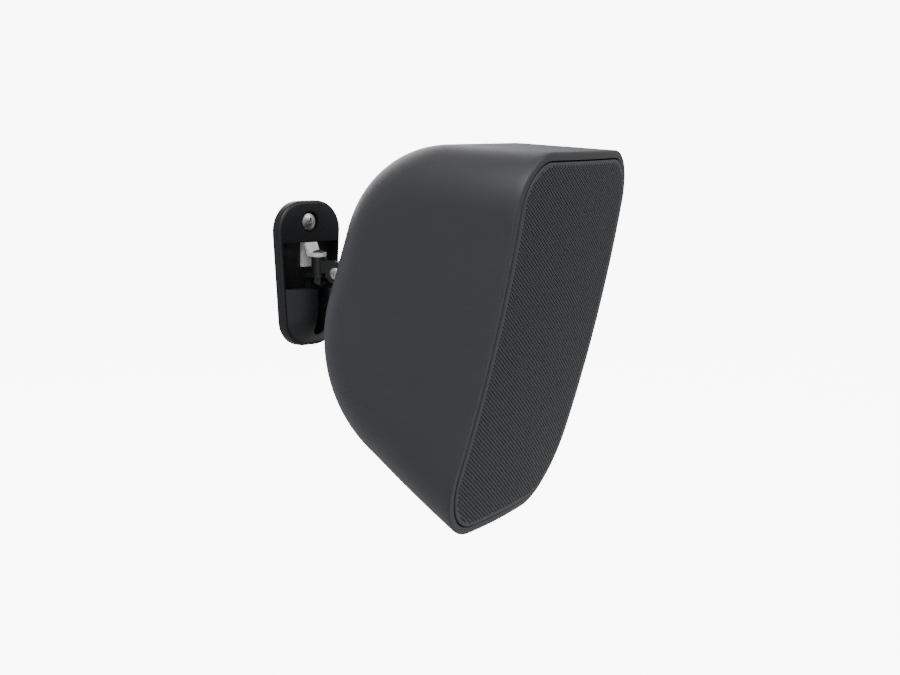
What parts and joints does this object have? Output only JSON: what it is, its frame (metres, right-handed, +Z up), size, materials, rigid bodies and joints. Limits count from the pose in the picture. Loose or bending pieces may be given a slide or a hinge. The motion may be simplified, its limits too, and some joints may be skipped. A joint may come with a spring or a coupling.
{
  "type": "wall loudspeaker",
  "caption": "Compact two-way loudspeaker with a bowed perforated grille, a rounded tapering housing and a wall bracket that pans and tilts.",
  "frame": {"origin": "middle of the bracket's back face, on the wall", "axes": "+Y into the wall, +Z up, the loudspeaker stands out along -Y, panned 18 degrees and tilted down 14 degrees at rest"},
  "size_m": [0.188, 0.2143, 0.2381],
  "materials": {
    "black_steel": "black oxide",
    "base_plastic": "fine-textured moulded black plastic",
    "zinc_steel": "bright zinc plating",
    "white_nylon": "natural nylon",
    "brass": "knurled brass",
    "moulded_housing": "fine spark-textured moulded charcoal plastic, satin",
    "inner_board": "moulded black plastic",
    "grille_metal": "charcoal powder coat, finely perforated",
    "grille_cloth": "thin black acoustic cloth",
    "frame_steel": "grey stove enamel",
    "surround_rubber": "butyl rubber",
    "motor_steel": "zinc-plated mild steel",
    "ferrite": "sintered ferrite",
    "paper_cone": "pressed black paper",
    "coil_copper": "enamelled copper wire",
    "spider_cloth": "resin-dipped cotton",
    "silk_dome": "doped silk",
    "magnet_alloy": "nickel plate",
    "circuit_board": "green solder mask",
    "capacitor_sleeve": "shrunk sleeve",
    "ceramic": "matt ceramic case",
    "lever_red": "moulded red plastic",
    "lever_black": "moulded black plastic",
    "contact_brass": "spring brass",
    "wadding": "polyester wadding",
    "lead_sleeve": "vinyl insulation"
  },
  "bodies": {
    "wall_bracket": {"wall_back_plate": "black_steel", "wall_base": "base_plastic", "lock_screw": "zinc_steel", "steel_bracket": "zinc_steel", "bracket_rivets": "zinc_steel", "pan_bolt": "zinc_steel", "pan_washers": "white_nylon", "pan_nut": "black_steel"},
    "knuckle": {"knuckle": "base_plastic", "tilt_washers": "white_nylon"},
    "cabinet": {"tilt_bolt": "zinc_steel", "tilt_nut": "zinc_steel", "cabinet_yoke": "base_plastic", "yoke_screws": "black_steel", "brass_inserts": "brass", "housing": "moulded_housing", "front_baffle": "inner_board", "baffle_screws": "black_steel", "grille": "grille_metal", "grille_cloth": "grille_cloth", "woofer_frame": "frame_steel", "woofer_gasket": "surround_rubber", "woofer_screws": "black_steel", "woofer_top_plate": "motor_steel", "woofer_magnet": "ferrite", "woofer_yoke": "motor_steel", "woofer_surround": "surround_rubber", "woofer_spider": "spider_cloth", "tweeter_faceplate": "inner_board", "tweeter_magnet": "magnet_alloy", "tweeter_pot": "motor_steel", "tweeter_screws": "black_steel", "port_tube_left": "inner_board", "port_tube_right": "inner_board", "crossover_board": "circuit_board", "board_screws": "zinc_steel", "woofer_inductor": "coil_copper", "tweeter_inductor": "coil_copper", "capacitors": "capacitor_sleeve", "resistor": "ceramic", "terminal_plate": "inner_board", "terminal_screws": "zinc_steel", "terminal_contacts": "contact_brass", "wadding": "wadding", "input_lead": "lead_sleeve", "woofer_lead": "lead_sleeve", "tweeter_lead": "lead_sleeve"},
    "woofer_diaphragm": {"woofer_cone": "paper_cone", "woofer_dust_cap": "paper_cone", "voice_coil": "coil_copper"},
    "tweeter_diaphragm": {"tweeter_dome": "silk_dome"},
    "red_lever": {"lever_red": "lever_red"},
    "black_lever": {"lever_black": "lever_black"}
  },
  "joints": [
    {"name": "pan", "type": "hinge", "parent": "wall_bracket", "child": "knuckle", "pos_m": [0, -0.015, 0.002], "axis": [0, 0, 1], "range_deg": [-58, 22]},
    {"name": "tilt", "type": "hinge", "parent": "knuckle", "child": "cabinet", "pos_m": [0.00587, -0.03307, 0.002], "axis": [0.9511, 0.309, 0], "range_deg": [-24, 10]},
    {"name": "woofer_travel", "type": "slide", "parent": "cabinet", "child": "woofer_diaphragm", "axis": [-0.2994, 0.9216, 0.247], "range_m": [-0.003, 0.003], "stiffness_N_per_m": 2000},
    {"name": "tweeter_travel", "type": "slide", "parent": "cabinet", "child": "tweeter_diaphragm", "axis": [-0.2994, 0.9216, 0.247], "range_m": [-0.0003, 0.0003], "stiffness_N_per_m": 4000},
    {"name": "red_lever_press", "type": "hinge", "parent": "cabinet", "child": "red_lever", "pos_m": [0.02311, -0.05701, -0.04541], "axis": [0.9511, 0.309, 0], "range_deg": [-10, 0], "stiffness_Nm_per_rad": 0.05},
    {"name": "black_lever_press", "type": "hinge", "parent": "cabinet", "child": "black_lever", "pos_m": [0.00599, -0.06257, -0.04541], "axis": [0.9511, 0.309, 0], "range_deg": [-10, 0], "stiffness_Nm_per_rad": 0.05}
  ]
}
